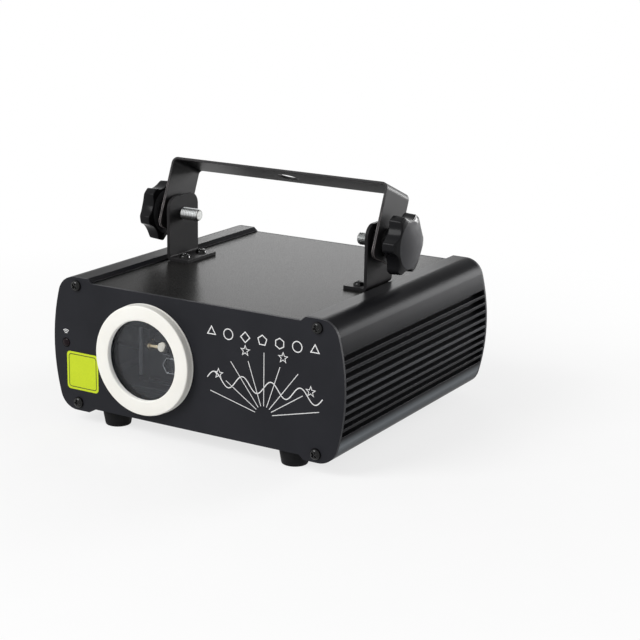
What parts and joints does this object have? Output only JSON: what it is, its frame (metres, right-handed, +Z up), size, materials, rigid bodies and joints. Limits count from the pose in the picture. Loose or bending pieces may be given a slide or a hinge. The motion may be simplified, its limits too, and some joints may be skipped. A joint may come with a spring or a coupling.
{
  "type": "laser show projector",
  "caption": "Compact black laser show projector with a ringed beam window, finned sides and a hanging yoke clamped by lobed knobs.",
  "frame": {"origin": "on the floor, under the middle of the housing", "axes": "+Z up, the front with its window faces -Y, +X to the right of someone facing the front"},
  "size_m": [0.206, 0.1968, 0.1543],
  "materials": {
    "extrusion_black": "satin black anodised, drawn",
    "panel_charcoal": "matt charcoal coat",
    "cover_black": "satin black powder coat",
    "bracket_paint": "fine-textured black powder coat",
    "screw_black": "blackened steel",
    "zinc_steel": "bright zinc plate",
    "washer_black": "black zinc plate",
    "foot_rubber": "moulded black rubber",
    "knob_plastic": "glossy black moulding",
    "ring_white": "white moulding",
    "window_clear": "clear, slightly blue",
    "dark_lens": "dark tinted, polished",
    "fitting_plastic": "black moulding",
    "rocker_black": "polished black moulding",
    "button_grey": "grey moulding",
    "contact_metal": "plated contacts",
    "digit_red": "unlit display block",
    "board_green": "solder mask",
    "machined_aluminium": "milled, black anodised",
    "motor_steel": "turned",
    "laser_brass": "turned",
    "mirror_coat": "front-coated"
  },
  "bodies": {
    "housing": {"board_spacers": "fitting_plastic", "board_standoffs": "machined_aluminium", "bottom_plate": "cover_black", "combiner_mirrors": "mirror_coat", "control_board": "board_green", "control_board_parts": "fitting_plastic", "data_in_connector": "fitting_plastic", "data_in_pins": "contact_metal", "data_out_connector": "fitting_plastic", "display_board": "board_green", "display_digits": "digit_red", "display_window": "dark_lens", "ear_screws": "screw_black", "fan_frame": "fitting_plastic", "fan_guard": "fitting_plastic", "foot_screws": "screw_black", "friction_washers": "foot_rubber", "front_panel": "panel_charcoal", "glass_retainer": "fitting_plastic", "infrared_receiver": "dark_lens", "inlet_blades": "contact_metal", "key_switches": "fitting_plastic", "laser_modules": "laser_brass", "laser_mounts": "machined_aluminium", "left_ear": "bracket_paint", "left_side_extrusion": "extrusion_black", "lens_ring": "ring_white", "mains_inlet": "fitting_plastic", "optics_base": "machined_aluminium", "optics_pillars": "machined_aluminium", "panel_screws": "screw_black", "rear_fitting_screws": "screw_black", "rear_panel": "panel_charcoal", "right_ear": "bracket_paint", "right_side_extrusion": "extrusion_black", "rubber_feet": "foot_rubber", "scanner_block": "machined_aluminium", "scanner_motors": "motor_steel", "small_screws": "zinc_steel", "supply_board": "board_green", "supply_parts": "fitting_plastic", "switch_frame": "fitting_plastic", "top_cover": "cover_black", "window_glass": "window_clear"},
    "yoke": {"yoke": "bracket_paint"},
    "left_washer": {"left_clamp_washer": "washer_black"},
    "right_washer": {"right_clamp_washer": "washer_black"},
    "left_knob": {"left_knob": "knob_plastic", "left_stud": "zinc_steel"},
    "right_knob": {"right_knob": "knob_plastic", "right_stud": "zinc_steel"},
    "power_rocker": {"power_rocker": "rocker_black"},
    "fan_rotor": {"fan_rotor": "fitting_plastic"},
    "menu_button": {"menu_button": "button_grey"},
    "up_button": {"up_button": "button_grey"},
    "down_button": {"down_button": "button_grey"},
    "enter_button": {"enter_button": "button_grey"},
    "x_scan_mirror": {"x_scan_mirror": "mirror_coat"},
    "y_scan_mirror": {"y_scan_mirror": "mirror_coat"}
  },
  "joints": [
    {"name": "yoke_tilt", "type": "hinge", "parent": "housing", "child": "yoke", "pos_m": [0, 0, 0.118], "axis": [-1, 0, 0], "range_deg": [-127.5, 82.5]},
    {"name": "left_knob_travel", "type": "slide", "parent": "housing", "child": "left_washer", "axis": [-1, 0, 0], "range_m": [0, 0.0125]},
    {"name": "left_knob_turn", "type": "hinge", "parent": "left_washer", "child": "left_knob", "pos_m": [-0.0798, 0, 0.118], "axis": [-1, 0, 0], "range_deg": [0, 3600]},
    {"name": "right_knob_travel", "type": "slide", "parent": "housing", "child": "right_washer", "axis": [1, 0, 0], "range_m": [0, 0.0125]},
    {"name": "right_knob_turn", "type": "hinge", "parent": "right_washer", "child": "right_knob", "pos_m": [0.0798, 0, 0.118], "axis": [1, 0, 0], "range_deg": [0, 3600]},
    {"name": "fan_spin", "type": "hinge", "parent": "housing", "child": "fan_rotor", "pos_m": [0.0515, 0.0825, 0.05], "axis": [0, 1, 0], "continuous": true},
    {"name": "rocker_throw", "type": "hinge", "parent": "housing", "child": "power_rocker", "pos_m": [-0.032, 0.091, 0.034], "axis": [-1, 0, 0], "range_deg": [0, 20]},
    {"name": "x_scan_turn", "type": "hinge", "parent": "housing", "child": "x_scan_mirror", "pos_m": [-0.0328, -0.0465, 0.036], "axis": [0, 1, 0], "range_deg": [-15, 15]},
    {"name": "y_scan_turn", "type": "hinge", "parent": "housing", "child": "y_scan_mirror", "pos_m": [-0.0468, -0.0605, 0.05], "axis": [1, 0, 0], "range_deg": [-15, 15]},
    {"name": "menu_press", "type": "slide", "parent": "housing", "child": "menu_button", "axis": [0, -1, 0], "range_m": [0, 0.0008], "stiffness_N_per_m": 300},
    {"name": "up_press", "type": "slide", "parent": "housing", "child": "up_button", "axis": [0, -1, 0], "range_m": [0, 0.0008], "stiffness_N_per_m": 300},
    {"name": "down_press", "type": "slide", "parent": "housing", "child": "down_button", "axis": [0, -1, 0], "range_m": [0, 0.0008], "stiffness_N_per_m": 300},
    {"name": "enter_press", "type": "slide", "parent": "housing", "child": "enter_button", "axis": [0, -1, 0], "range_m": [0, 0.0008], "stiffness_N_per_m": 300}
  ],
  "couplings": [
    {"joint": "left_knob_travel", "follows": "left_knob_turn", "m_per_rad": 0.00019894},
    {"joint": "right_knob_travel", "follows": "right_knob_turn", "m_per_rad": 0.00019894}
  ]
}
